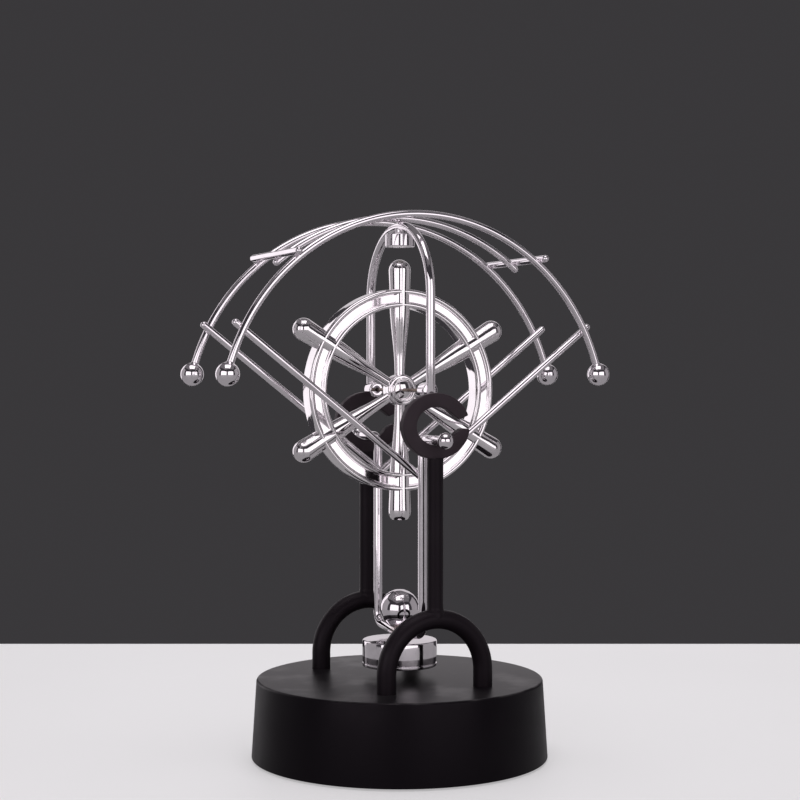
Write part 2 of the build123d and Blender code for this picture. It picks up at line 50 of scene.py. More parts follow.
def skin(rows, startPole=None, endPole=None, loop=False):
    # A grid of rows (along) by columns (round a closed profile). Neighbouring rows are joined by
    # quads; a pole closes an end with a fan, and loop joins the last row to the first.
    # The signed volume tells which way the faces point, and they are turned to point outwards.
    rows = np.asarray(rows, float)
    n, m = rows.shape[:2]
    verts = rows.reshape(-1, 3)
    i = np.arange(n if loop else n - 1)[:, None]
    j = np.arange(m)[None, :]
    up, side = (i + 1) % n, (j + 1) % m
    quads = np.stack([i * m + j, i * m + side, up * m + side, up * m + j], -1).reshape(-1, 4)
    fans = []
    for pole, row, flip in ((startPole, 0, True), (endPole, n - 1, False)):
        if pole is None:
            continue
        ring = row * m + np.arange(m)
        after = row * m + (np.arange(m) + 1) % m
        tip = np.full(m, len(verts))
        verts = np.vstack([verts, np.asarray(pole, float)[None, :]])
        fans.append(np.stack([tip, after, ring] if flip else [tip, ring, after], -1))
    corners = np.vstack([quads[:, [0, 1, 2]], quads[:, [0, 2, 3]]] + fans)
    a, b, c = (verts[corners[:, k]] for k in range(3))
    faces = quads.tolist() + [t for fan in fans for t in fan.tolist()]
    if np.einsum("ij,ij->i", a, np.cross(b, c)).sum() < 0:
        faces = [f[::-1] for f in faces]
    return verts, faces


def turned(profile, centre, axis, sides=64, loop=False):
    # A lathe: each profile point (s, r) becomes the ring centre + s*axis + r*(cos t*e1 + sin t*e2).
    profile = np.asarray(profile, float)
    centre, axis = np.asarray(centre, float), unit(axis)
    e1 = unit(np.cross(axis, (0, 0, 1.0) if abs(axis[2]) < 0.9 else (1.0, 0, 0)))
    e2 = np.cross(axis, e1)
    t = np.arange(sides) * 2 * np.pi / sides
    ring = np.cos(t)[:, None] * e1 + np.sin(t)[:, None] * e2
    at = centre + profile[:, :1] * axis
    if loop:
        return skin(at[:, None] + profile[:, 1, None, None] * ring, loop=True)
    middle = slice(1, -1)  # the first and last points are the poles
    rows = at[middle, None] + profile[middle, 1, None, None] * ring
    return skin(rows, at[0], at[-1])


def roundCorners(points, radii, steps=10):
    # Each corner is cut back by r*tan(turn/2) on both legs and bridged by the arc of radius r
    # that touches both of them.
    points = np.asarray(points, float)
    out = [points[:1]]
    for before, corner, after, r in zip(points[:-2], points[1:-1], points[2:], radii):
        a, b = unit(before - corner), unit(after - corner)
        half = math.acos(np.clip(np.dot(a, b), -1, 1)) / 2
        if r <= 0 or half > math.pi / 2 - 1e-4:
            out.append(corner[None, :])
            continue
        middle = corner + unit(a + b) * r / math.sin(half)
        start, end = corner + a * r / math.tan(half), corner + b * r / math.tan(half)
        t = np.linspace(0, 1, steps)[:, None]
        sweep = math.pi - 2 * half
        u, v = start - middle, end - middle
        arc = (np.sin((1 - t) * sweep) * u + np.sin(t * sweep) * v) / math.sin(sweep)
        out.append(middle + arc)
    out.append(points[-1:])
    return np.vstack(out)


def roundPolygon(points, radii, steps=8):
    # The same for a closed outline.
    points = np.asarray(points, float)
    ring = np.vstack([points[-1:], points, points[:1]])
    return roundCorners(ring, radii, steps)[1:-1]


def arcPoints(centre, radius, first, last, steps):
    t = np.radians(np.linspace(first, last, steps))[:, None]
    return np.asarray(centre, float) + radius * np.hstack([np.cos(t), np.sin(t)])


def onPlane(points, plane, depth=0.0):
    # 2D points placed in the XZ or YZ plane, at the given depth.
    a, b = np.asarray(points, float).T
    d = np.full(len(a), depth)
    return np.stack([a, d, b] if plane == "xz" else [d, a, b], -1)


def tube(path, radius, normal, ends=("edge", "edge"), sides=32, edge=0.3):
    # Round wire: P(u, t) = path(u) + r*(cos t * normal + sin t * (tangent x normal)). The path is
    # flat, so its normal is the same all along. An end is a ball ("ball") or a broken edge.
    path = np.asarray(path, float)
    legs = unit(np.diff(path, axis=0))
    tangent = unit(np.vstack([legs[:1], legs[:-1] + legs[1:], legs[-1:]]))
    stretch = 1 / np.clip(np.einsum("ij,ij->i", tangent[1:-1], legs[:-1]), 0.5, 1)
    widen = np.concatenate([[1], stretch, [1]])
    centres, directions, radii = [path], [tangent], [np.full(len(path), float(radius))]
    poles = []
    for kind, at, way in ((ends[0], 0, -1), (ends[1], -1, 1)):
        size = radius if kind == "ball" else edge
        t = np.linspace(0, np.pi / 2, 9)[1:-1] if kind == "ball" else np.linspace(0, np.pi / 2, 5)[1:]
        move = way * tangent[at]
        block = path[at] + move * (size * np.sin(t))[:, None]
        blockRadii = radius - size + size * np.cos(t)
        blockTangent = np.repeat(tangent[at][None, :], len(t), 0)
        poles.append(path[at] + move * size)
        if at == 0:
            centres.insert(0, block[::-1])
            radii.insert(0, blockRadii[::-1])
            directions.insert(0, blockTangent)
            widen = np.concatenate([np.ones(len(t)), widen])
        else:
            centres.append(block)
            radii.append(blockRadii)
            directions.append(blockTangent)
            widen = np.concatenate([widen, np.ones(len(t))])
    centres, directions = np.vstack(centres), np.vstack(directions)
    radii = np.concatenate(radii)
    normal = unit(normal)
    across = np.cross(directions, normal)
    t = np.arange(sides) * 2 * np.pi / sides
    across = (across * widen[:, None])[:, None]
    ring = np.cos(t)[None, :, None] * normal + np.sin(t)[None, :, None] * across
    rows = centres[:, None] + radii[:, None, None] * ring
    return skin(rows, poles[0], poles[1])


def straight(start, end, radius, ends=("edge", "edge"), sides=32, edge=0.3):
    start, end = np.asarray(start, float), np.asarray(end, float)
    way = unit(end - start)
    normal = np.cross(way, (0, 1.0, 0)) if abs(way[1]) < 0.9 else np.cross(way, (1.0, 0, 0))
    return tube(np.linspace(start, end, 4), radius, normal, ends, sides, edge)


def plate(outline, depth, thickness, edge, steps=6):
    # A flat cut-out in the XZ plane: the outline is carried round a quarter circle at each edge,
    # moving in by edge*(1 - cos t) along its own normal, and closed by two flat faces.
    outline = np.asarray(outline, float)
    after = np.roll(outline, -1, 0)
    if (outline[:, 0] * after[:, 1] - outline[:, 1] * after[:, 0]).sum() < 0:
        outline = outline[::-1]
    ahead, behind = np.roll(outline, -1, 0) - outline, outline - np.roll(outline, 1, 0)
    run = unit(unit(ahead) + unit(behind))
    inward = np.stack([-run[:, 1], run[:, 0]], -1)
    t = np.linspace(0, np.pi / 2, steps)
    half = thickness / 2
    step = edge * (1 - np.cos(t))
    out = half - edge + edge * np.sin(t)
    move = np.concatenate([step[::-1], step])
    y = np.concatenate([-out[::-1], out])
    flat = outline[None] + move[:, None, None] * inward[None]
    rows = np.stack([flat[..., 0], np.broadcast_to(depth + y[:, None], flat.shape[:2]), flat[..., 1]], -1)
    m, n = len(outline), len(rows)
    i, j = np.arange(n - 1)[:, None], np.arange(m)[None, :]
    side = (j + 1) % m
    quads = np.stack([i * m + j, i * m + side, (i + 1) * m + side, (i + 1) * m + j], -1).reshape(-1, 4)
    front, back = list(range(m)), list(range((n - 1) * m, n * m))
    return rows.reshape(-1, 3), quads[:, ::-1].tolist() + [front, back[::-1]]


def bead(centre, size, axis=(0, 0, 1), sides=20):
    # A small round drop: an ellipsoid with half axes size[0] along the axis and size[1] around it.
    t = np.linspace(0, np.pi, 13)
    return turned(np.stack([-size[0] * np.cos(t), size[1] * np.sin(t)], -1), centre, axis, sides)


def piece(name, body, finish, parts, replaced=(), creaseAngle=38):
    verts, faces, start = [], [], 0
    for v, f in parts:
        verts.append(v)
        faces += [[k + start for k in face] for face in f]
        start += len(v)
    mesh = bpy.data.meshes.new(name)
    mesh.from_pydata((np.vstack(verts) * mm).tolist(), [], faces)
    mesh.update()
    mesh.shade_smooth()
    mesh.set_sharp_from_angle(angle=math.radians(creaseAngle))
    mesh.materials.append(finish)
    obj = bpy.data.objects.new(name, mesh)
    bpy.context.scene.collection.objects.link(obj)
    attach(obj, body)
    if replaced:
        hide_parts(*replaced)
    return obj


# materials

def addNode(tree, kind, inputs=None, **settings):
    node = tree.nodes.new(kind)
    for key, value in settings.items():
        setattr(node, key, value)
    for key, value in (inputs or {}).items():
        if isinstance(value, bpy.types.NodeSocket):
            tree.links.new(value, node.inputs[key])
        else:
            node.inputs[key].default_value = value
    return node


def math1(tree, operation, a, b=0.0, clamp=False):
    node = addNode(tree, "ShaderNodeMath", {0: a, 1: b}, operation=operation, use_clamp=clamp)
    return node.outputs[0]


def ramp(tree, value, low, high, toLow=0.0, toHigh=1.0):
    node = addNode(tree, "ShaderNodeMapRange", {"Value": value, "From Min": low, "From Max": high,
                                                "To Min": toLow, "To Max": toHigh},
                   interpolation_type="SMOOTHSTEP")
    return node.outputs["Result"]


def noise(tree, vector, scale, detail=2.0, roughness=0.5):
    node = addNode(tree, "ShaderNodeTexNoise", {"Vector": vector, "Scale": scale, "Detail": detail,
                                                "Roughness": roughness})
    return node.outputs["Fac"]


def newGroup(name, inputs, outputs):
    tree = bpy.data.node_groups.new(name, "ShaderNodeTree")
    for label, kind, value in inputs:
        socket = tree.interface.new_socket(label, in_out="INPUT", socket_type=kind)
        if value is not None:
            socket.default_value = value
    for label in outputs:
        tree.interface.new_socket(label, in_out="OUTPUT", socket_type="NodeSocketFloat")
    return tree, tree.nodes.new("NodeGroupInput"), tree.nodes.new("NodeGroupOutput")


def handlingGroup():
    # What handling leaves on a smooth finish: Smudge is soft finger marks, Scratch is thin wandering
    # hairlines (where a noise crosses its middle value), Grain is the fine unevenness.
    tree, given, out = newGroup("handling", [("Vector", "NodeSocketVector", None),
                                             ("Scale", "NodeSocketFloat", 90.0)],
                                ["Smudge", "Scratch", "Grain"])
    vector, scale = given.outputs["Vector"], given.outputs["Scale"]
    soft = noise(tree, vector, scale, 3.0, 0.6)
    tree.links.new(ramp(tree, soft, 0.45, 0.72), out.inputs["Smudge"])
    long = addNode(tree, "ShaderNodeMapping", {"Vector": vector, "Scale": (1.0, 1.0, 0.25),
                                               "Rotation": (0.4, 0.7, 0.3)})
    wander = noise(tree, long.outputs["Vector"], math1(tree, "MULTIPLY", scale, 2.6), 1.0)
    line = ramp(tree, math1(tree, "ABSOLUTE", math1(tree, "SUBTRACT", wander, 0.5)), 0.006, 0.0)
    where = ramp(tree, noise(tree, vector, math1(tree, "MULTIPLY", scale, 1.7), 1.0), 0.52, 0.62)
    tree.links.new(math1(tree, "MULTIPLY", line, where), out.inputs["Scratch"])
    grain = noise(tree, vector, math1(tree, "MULTIPLY", scale, 14.0), 2.0)
    tree.links.new(grain, out.inputs["Grain"])
    return tree


def dustGroup():
    # Fine dust that settles on faces that look up: the normal's rise, squared, times two noises.
    tree, given, out = newGroup("dust", [("Vector", "NodeSocketVector", None),
                                         ("Amount", "NodeSocketFloat", 0.5)], ["Dust"])
    normal = tree.nodes.new("ShaderNodeNewGeometry").outputs["Normal"]
    rise = addNode(tree, "ShaderNodeSeparateXYZ", {"Vector": normal}).outputs["Z"]
    rise = math1(tree, "POWER", math1(tree, "MAXIMUM", rise, 0.0), 2.0)
    cloud = ramp(tree, noise(tree, given.outputs["Vector"], 60.0, 3.0), 0.35, 0.75)
    speck = ramp(tree, noise(tree, given.outputs["Vector"], 2600.0, 1.0), 0.66, 0.74)
    both = math1(tree, "ADD", math1(tree, "MULTIPLY", cloud, 0.35), speck)
    settled = math1(tree, "MULTIPLY", math1(tree, "MULTIPLY", both, rise), given.outputs["Amount"],
                    clamp=True)
    tree.links.new(settled, out.inputs["Dust"])
    return tree


def stainGroup():
    # Brown flux and heat marks near a soldered joint: one inside the radius, fading out, and
    # broken up by a noise.
    tree, given, out = newGroup("jointStain", [("Vector", "NodeSocketVector", None),
                                               ("Place", "NodeSocketVector", None),
                                               ("Radius", "NodeSocketFloat", 0.003)], ["Stain"])
    away = addNode(tree, "ShaderNodeVectorMath", {0: given.outputs["Vector"], 1: given.outputs["Place"]},
                   operation="DISTANCE").outputs["Value"]
    near = math1(tree, "SUBTRACT", 1.0, math1(tree, "DIVIDE", away, given.outputs["Radius"]), clamp=True)
    patchy = ramp(tree, noise(tree, given.outputs["Vector"], 900.0, 2.0), 0.3, 0.6, 0.35, 1.0)
    tree.links.new(math1(tree, "MULTIPLY", math1(tree, "POWER", near, 0.6), patchy), out.inputs["Stain"])
    return tree


handling, dust, jointStain = handlingGroup(), dustGroup(), stainGroup()


def place(tree, group, **values):
    node = tree.nodes.new("ShaderNodeGroup")
    node.node_tree = group
    for key, value in values.items():
        if isinstance(value, bpy.types.NodeSocket):
            tree.links.new(value, node.inputs[key])
        else:
            node.inputs[key].default_value = value
    return node.outputs


def blendColour(tree, factor, first, second):
    node = tree.nodes.new("ShaderNodeMix")
    node.data_type = "RGBA"
    for index, value in ((0, factor), (6, first), (7, second)):
        if isinstance(value, bpy.types.NodeSocket):
            tree.links.new(value, node.inputs[index])
        else:
            node.inputs[index].default_value = value if index == 0 else (*value, 1.0)
    return node.outputs[2]


def newFinish(name, **constant):
    material = bpy.data.materials.new(name)
    material.use_nodes = True
    tree = material.node_tree
    shader = next(n for n in tree.nodes if n.type == "BSDF_PRINCIPLED")
    for key, value in constant.items():
        shader.inputs[key.replace("_", " ")].default_value = value
    where = tree.nodes.new("ShaderNodeTexCoord").outputs["Object"]
    return material, tree, shader, where


def bump(tree, shader, height, distance, strength=1.0):
    node = addNode(tree, "ShaderNodeBump", {"Height": height, "Distance": distance,
                                            "Strength": strength})
    tree.links.new(node.outputs["Normal"], shader.inputs["Normal"])


def metalFinish(name, colour, dull, rough, spread, scale, ripple, stainAt=None):
    # Plated or polished metal: finger marks raise the roughness and dull the colour a little,
    # hairlines raise it more, and the grain gives the plating its slight unevenness.
    material, tree, shader, where = newFinish(name, Metallic=1.0)
    marks = place(tree, handling, Vector=where, Scale=scale)
    soiled = math1(tree, "ADD", math1(tree, "MULTIPLY", marks["Smudge"], 0.6), marks["Scratch"], True)
    tint = blendColour(tree, soiled, colour, dull)
    roughness = math1(tree, "MULTIPLY_ADD", soiled, spread)
    roughness.node.inputs[2].default_value = rough
    if stainAt:
        stain = place(tree, jointStain, Vector=where, Place=stainAt[0], Radius=stainAt[1])["Stain"]
        tint = blendColour(tree, stain, tint, (0.24, 0.13, 0.07))
        roughness = math1(tree, "ADD", roughness, math1(tree, "MULTIPLY", stain, 0.3))
    tree.links.new(tint, shader.inputs["Base Color"])
    tree.links.new(roughness, shader.inputs["Roughness"])
    bump(tree, shader, marks["Grain"], ripple)
    return material


def plasticFinish(name, colour, worn, gloss, rough, spread, grainScale, grainDepth, dustAmount, edgeHighlightAt=None):
    # Moulded or painted black: spark-eroded grain in the bump, finger marks that polish it a
    # little, and dust on top. edgeHighlightAt = (radius, height) paints a round top edge lighter,
    # a painted highlight broken up by a noise.
    material, tree, shader, where = newFinish(name, Specular_IOR_Level=gloss,
                                              Specular_Tint=(1.0, 0.88, 0.98, 1.0))
    marks = place(tree, handling, Vector=where, Scale=55.0)
    tone = blendColour(tree, math1(tree, "MULTIPLY", marks["Smudge"], 0.5), colour, worn)
    if edgeHighlightAt:
        parts = addNode(tree, "ShaderNodeSeparateXYZ", {"Vector": where}).outputs
        round2 = math1(tree, "ADD", math1(tree, "MULTIPLY", parts["X"], parts["X"]),
                       math1(tree, "MULTIPLY", parts["Y"], parts["Y"]))
        offEdge = math1(tree, "ABSOLUTE", math1(tree, "SUBTRACT", math1(tree, "SQRT", round2), edgeHighlightAt[0]))
        offTop = math1(tree, "ABSOLUTE", math1(tree, "SUBTRACT", parts["Z"], edgeHighlightAt[1]))
        rim = ramp(tree, math1(tree, "ADD", offEdge, offTop), 0.0009, 0.0001)
        # painted highlight: a lighter colour along the top edge, broken up by a noise
        paintedEdgeHighlight = math1(tree, "MULTIPLY", rim, ramp(tree, noise(tree, where, 120.0, 3.0), 0.45, 0.7))
        tone = blendColour(tree, math1(tree, "MULTIPLY", paintedEdgeHighlight, 0.6), tone, (0.06, 0.056, 0.058))
    settled = place(tree, dust, Vector=where, Amount=dustAmount)["Dust"]
    tone = blendColour(tree, settled, tone, (0.32, 0.31, 0.30))
    tree.links.new(tone, shader.inputs["Base Color"])
    roughness = math1(tree, "MULTIPLY_ADD", marks["Smudge"], spread)
    roughness.node.inputs[2].default_value = rough
    tree.links.new(math1(tree, "ADD", roughness, math1(tree, "MULTIPLY", settled, 0.3)),
                   shader.inputs["Roughness"])
    bump(tree, shader, noise(tree, where, grainScale, 3.0, 0.6), grainDepth)
    return material


finish = {
    "chrome": metalFinish("chrome", (0.90, 0.86, 0.895), (0.74, 0.71, 0.74), rough=0.035, spread=0.10,
                          scale=90.0, ripple=0.0000012, stainAt=((0.0, 0.0, 0.0410), 0.0055)),
    "chromedPlastic": metalFinish("chromedPlastic", (0.92, 0.89, 0.91), (0.78, 0.755, 0.78), rough=0.06,
                                  spread=0.12, scale=70.0, ripple=0.000003),
    "pinSteel": metalFinish("pinSteel", (0.24, 0.19, 0.16), (0.17, 0.13, 0.11), rough=0.22, spread=0.15,
                            scale=200.0, ripple=0.000001),
    "baseBlack": plasticFinish("baseBlack", (0.0030, 0.0022, 0.0034), (0.0055, 0.0043, 0.0058), gloss=0.11,
                               rough=0.36, spread=-0.08, grainScale=2600.0, grainDepth=0.00002,
                               dustAmount=0.10, edgeHighlightAt=(0.0478, 0.0268)),
    "standBlack": plasticFinish("standBlack", (0.0085, 0.0062, 0.0082), (0.013, 0.0105, 0.0126), gloss=0.13,
                                rough=0.42, spread=-0.08, grainScale=1500.0, grainDepth=0.00001,
                                dustAmount=0.06),
    # the hook's black is lighter than the stand's: partly a moulded plastic, partly painted light for the
    # key light that its flat face catches
    "hookBlack": plasticFinish("hookBlack", (0.036, 0.0275, 0.0325), (0.044, 0.0355, 0.0405), gloss=0.13,
                               rough=0.45, spread=-0.08, grainScale=1700.0, grainDepth=0.000015,
                               dustAmount=0.06),
}
print("materials for the visible finishes made")


# base casing
casing = {"radius": 50.0, "topRadius": 48.3, "height": 27.0, "wall": 2.2, "roof": 2.4, "gap": 0.6,
          "topEdge": 0.9, "footEdge": 0.35, "socketX": 17.4, "socketY": 27.2, "socketR": 5.0,
          "socketLow": 20.0, "bossX": 37.6, "bossY": 17.5, "bossR": 3.0, "bossLow": 2.8,
          "innerRounding": 0.5, "wallRounding": 0.2, "sunk": 0.3}


def makeCasing(c):
    inner = c["height"] - c["roof"]
    profile = roundCorners(
        [(inner, 0), (inner, c["topRadius"] - c["wall"]), (c["gap"], c["radius"] - c["wall"]),
         (c["gap"], c["radius"]), (c["height"], c["topRadius"]), (c["height"], 0)],
        [c["innerRounding"], c["wallRounding"], c["footEdge"], c["topEdge"]], steps=9)
    parts = [turned(profile, (0, 0, 0), (0, 0, 1), 256)]
    for x in (-1, 1):
        for y in (-1, 1):
            spots = ((c["socketX"] * x, c["socketY"] * y, c["socketR"], c["socketLow"]),
                     (c["bossX"] * x, c["bossY"] * y, c["bossR"], c["bossLow"]))
            for px, py, r, low in spots:
                end = inner + c["sunk"]
                post = roundCorners([(low, 0), (low, r), (end, r), (end, 0)], [0.3, 0], 5)
                parts.append(turned(post, (px, py, 0), (0, 0, 1), 40))
    return piece("casing", "root", finish["baseBlack"], parts, ["base_shell"])


makeCasing(casing)
print("casing made")


# stands
stand = {"y": 27.2, "legX": 17.4, "legR": 3.15, "low": 21.5, "archZ": 32.6, "postR": 2.65,
         "hookZ": 112.6, "hookOut": (12.0, 10.7), "hookIn": (7.2, 6.2), "thick": 3.0, "edge": 0.3,
         "upperLip": ((5.1, 4.3), (8.1, 2.0), (11.4, 3.36)),
         "lowerLip": ((11.93, -1.05), (9.1, -0.75), (6.4, -2.62)),
         "outerTurn": (18.3, 351.5), "innerTurn": (335, 45),  # where the two ellipses start and stop
         "lipRounding": (0.45, 0.42), "beakRounding": (0.7, 2.2, 0.4),
         "flare": 0.55, "flareStart": -0.9, "flareRise": 2.2,
         "postSunk": 2.6, "postPast": 0.35, "postEdge": 0.25}


def makeStand(s, name, y):
    arch = np.vstack([[(-s["legX"], s["low"])], arcPoints((0, s["archZ"]), s["legX"], 180, 0, 49),
                      [(s["legX"], s["low"])]])
    foot = tube(onPlane(arch, "xz", y), s["legR"], (0, 1, 0), sides=48)
    piece(name + "Foot", "root", finish["standBlack"], [foot], [name + "_foot"])

    # the post widens towards the foot by flare*(1 - sin)^1.5, as a weld does
    top = s["archZ"] + s["legX"] + s["legR"]
    rise = np.linspace(0, 1, 9)
    flare = s["postR"] + s["flare"] * (1 - np.sin(rise * np.pi / 2)) ** 1.5
    neck = np.stack([top + s["flareStart"] + s["flareRise"] * rise, flare], -1)
    low, wide = top - s["postSunk"], s["postR"] + s["flare"]
    high, edge = s["hookZ"] - s["hookOut"][1] + s["postPast"], s["postEdge"]
    profile = np.vstack([[(low, 0), (low, wide)], neck,
                         [(high - edge, s["postR"]), (high, s["postR"] - edge), (high, 0)]])
    post = turned(profile, (0, y, 0), (0, 0, 1), 48)
    piece(name + "Post", "root", finish["standBlack"], [post], [name + "_post"])

    # the outline runs round the outside from the upper lip to the beak, and back along the inside
    (ax, az), (bx, bz) = s["hookOut"], s["hookIn"]
    outer = np.radians(np.linspace(*s["outerTurn"], 120))[:, None]
    inner = np.radians(np.linspace(*s["innerTurn"], 84))[:, None]
    outerPoints = np.hstack([ax * np.cos(outer), az * np.sin(outer)])
    innerPoints = np.hstack([bx * np.cos(inner), bz * np.sin(inner)])
    beakTip, beakMiddle, beakRoot = s["lowerLip"]
    lipRoot, lipInner, lipTip = s["upperLip"]
    # each rounding is wider than the broken edge, so that the edge's line does not cross itself
    tipRounding, innerRounding = s["lipRounding"]
    radii = [tipRounding] + [0] * (len(outerPoints) - 2) + list(s["beakRounding"])
    radii += [0] * (len(innerPoints) - 2) + [0, innerRounding]
    outline = np.vstack([[lipTip], outerPoints[1:-1], [beakTip, beakMiddle, beakRoot],
                         innerPoints[1:-1], [lipRoot, lipInner]])
    outline = roundPolygon(outline, radii, 7) + (0, s["hookZ"])
    hook = plate(outline, y, s["thick"], s["edge"])
    piece(name + "Hook", "root", finish["hookBlack"], [hook], [name + "_hook"])


makeStand(stand, "front", -stand["y"])
makeStand(stand, "rear", stand["y"])
print("stands made")


# hanger, pivot balls, weight ball and magnet cup
hanger = {"r": 1.5, "pivotZ": 108.0, "pivotY": 34.6, "legY": 17.8, "lowZ": 43.5, "dipZ": 41.9,
          "bends": [3.5, 4.0, 40.0, 4.0, 3.5], "pivotBallR": 2.65, "weightR": 6.7, "weightZ": 50.0,
          "seat": (0.9, 2.0), "seatSunk": 0.1}
cup = {"r": 12.6, "low": 31.0, "high": 39.8, "wall": 0.9, "grooveLow": 32.0,
       "grooveHigh": 32.5, "grooveDeep": 0.25, "grooveSlope": 0.1, "stemR": 2.2, "stemFlare": 0.3,
       "stemTaper": 0.5, "rounding": [0.3, 0.15, 0.3, 0.12, 0.05, 0.05, 0.12, 0.6, 0.8, 0.2]}


def ballOnWire(centre, radius, wireWay, wireR, sides=56):
    # A ball bored for a wire: the circle from its far pole round to the bore, then a small
    # hollow fillet of solder up the wire.
    fillet, length = 0.35, 0.45
    stop = math.asin((wireR + fillet) / radius)
    t = np.linspace(0, np.pi - stop, 33)
    ball = np.stack([-radius * np.cos(t), radius * np.sin(t)], -1)
    u = np.linspace(0, 1, 5)[1:]
    s = ball[-1, 0]
    neck = np.stack([s + length * u, wireR + fillet * (1 - u) ** 2 + 0.01], -1)
    profile = np.vstack([ball, neck, [(s + length, 0)]])
    return turned(profile, centre, wireWay, sides)


def makeHanger(h):
    z, y, low = h["pivotZ"], h["legY"], h["lowZ"]
    corners = [(-h["pivotY"], z), (-y, z), (-y, low), (0, h["dipZ"]), (y, low), (y, z), (h["pivotY"], z)]
    path = roundCorners(corners, h["bends"], steps=14)
    piece("hangerWire", "pendulum", finish["chrome"],
          [tube(onPlane(path, "yz"), h["r"], (1, 0, 0), sides=40)], ["hanger"])
    for name, side in (("front", -1), ("rear", 1)):
        ball = ballOnWire((0, side * h["pivotY"], z), h["pivotBallR"], (0, -side, 0), h["r"])
        piece(name + "PivotBall", "pendulum", finish["chrome"], [ball],
              [name + "_pivot_ball"])
    seat = bead((0, 0, h["weightZ"] - h["weightR"] + h["seatSunk"]), h["seat"], (0, 0, 1), 32)
    piece("weightBall", "pendulum", finish["chrome"],
          [bead((0, 0, h["weightZ"]), (h["weightR"], h["weightR"]), (0, 0, 1), 72), seat], ["weight_ball"])


def makeCup(c, h):
    inner = c["r"] - c["wall"]
    stem = h["dipZ"] + 0.2
    neck, slope = c["r"] - c["grooveDeep"], c["grooveSlope"]
    profile = roundCorners(
        [(c["high"] - c["wall"], 0), (c["high"] - c["wall"], inner), (c["low"], inner), (c["low"], c["r"]),
         (c["grooveLow"], c["r"]), (c["grooveLow"] + slope, neck), (c["grooveHigh"] - slope, neck),
         (c["grooveHigh"], c["r"]), (c["high"], c["r"]), (c["high"], c["stemR"] + c["stemFlare"]),
         (stem, c["stemR"] - c["stemTaper"]), (stem, 0)], c["rounding"], steps=6)
    piece("magnetCup", "pendulum", finish["chrome"],
          [turned(profile, (0, 0, 0), (0, 0, 1), 160)], ["magnet_cup"])


makeHanger(hanger)
makeCup(cup, hanger)
print("hanger, balls and magnet cup made")


# arcs, cross rods, braces and end balls
bow = {"z": 112.4, "radius": 69.6, "y": 17.6, "wireR": 1.2, "ballX": 67.5, "ballR": 3.84,
       "middleX": 44.4, "crossHalf": 20.6, "crossAngle": 51.4, "weld": 0.3,
       "braceTop": (62.0, 144.0), "braceLow": 95.8, "bracePast": 2.6, "filler": 0.85,
       "crossFillerHalf": 0.55, "braceFillerHalf": 0.6}


def makeBow(b):
    r = b["wireR"]
    endAngle = math.degrees(math.acos(b["ballX"] / b["radius"]))
    middleAngle = math.degrees(math.acos(b["middleX"] / b["radius"]))
    endZ = b["z"] + b["radius"] * math.sin(math.radians(endAngle))
    for name, y, first, ends in (("front", -b["y"], endAngle, "edge"), ("rear", b["y"], endAngle, "edge"),
                                 ("middle", 0.0, middleAngle, "ball")):
        path = arcPoints((0, b["z"]), b["radius"], first, 180 - first, 161)
        wire = tube(onPlane(path, "xz", y), r, (0, 1, 0), (ends, ends), 32)
        piece(name + "Arc", "pendulum", finish["chrome"], [wire], [name + "_arc"])
    for name, y in (("front", -b["y"]), ("rear", b["y"])):
        for sideName, side in (("Left", -1), ("Right", 1)):
            t = math.radians(endAngle)
            way = (-side * math.sin(t), 0, math.cos(t))
            ball = ballOnWire((side * b["ballX"], y, endZ), b["ballR"], way, r)
            piece(name + sideName + "Ball", "pendulum", finish["chrome"], [ball],
                  [name + "_" + sideName.lower() + "_ball"])

    out = b["radius"] + 2 * r - b["weld"]
    turn = math.radians(b["crossAngle"])
    seam = (b["radius"] + out) / 2
    for name, side in (("left", -1), ("right", 1)):
        x, z = side * out * math.cos(turn), b["z"] + out * math.sin(turn)
        parts = [straight((x, -b["crossHalf"], z), (x, b["crossHalf"], z), r, ("ball", "ball"))]
        sx, sz = side * seam * math.cos(turn), b["z"] + seam * math.sin(turn)
        outward, size = (side * math.cos(turn), 0, math.sin(turn)), (b["crossFillerHalf"], b["filler"])
        parts += [bead((sx, y, sz), size, outward) for y in (-b["y"], 0, b["y"])]
        piece(name + "CrossRod", "pendulum", finish["chrome"], parts, [name + "_cross_rod"])

    topX, topZ = b["braceTop"]
    length = math.hypot(topX, topZ - b["braceLow"])
    reach = 1 + b["bracePast"] / length
    for name, face in (("front", -1), ("rear", 1)):
        y = face * (b["y"] - 2 * r + b["weld"])
        for sideName, side in (("left", -1), ("right", 1)):
            far = (side * topX * reach, y, b["braceLow"] + (topZ - b["braceLow"]) * reach)
            parts = [straight((0, y, b["braceLow"]), far, r, ("ball", "ball")),
                     bead((side * topX, (y + face * b["y"]) / 2, topZ), (b["braceFillerHalf"], b["filler"]),
                          (0, 1, 0))]
            piece(name + sideName.title() + "Brace", "pendulum", finish["chrome"], parts,
                  [name + "_" + sideName + "_brace"])


makeBow(bow)
print("arcs, cross rods, braces and end balls made")


# yoke, bearings and top magnet cup
yoke = {"y": 23.8, "r": 1.5, "low": 122.6, "arcZ": 155.5, "bossR": 2.6, "bossIn": 18.6, "wheelZ": 124.1,
        "recessR": 1.25, "recessDeep": 2.4, "boreR": 0.65, "boreEnd": 21.8,
        "cupLow": 172.4, "cupHigh": 176.8, "cupR": 5.0, "cupWall": 0.7, "stemR": 1.4, "stemPast": -0.6,
        "bossRounding": [0, 0.05, 0.1, 0.15, 0.5, 0.3], "cupRounding": [0.2, 0.15, 0.25, 0.5, 0.5, 0.1]}


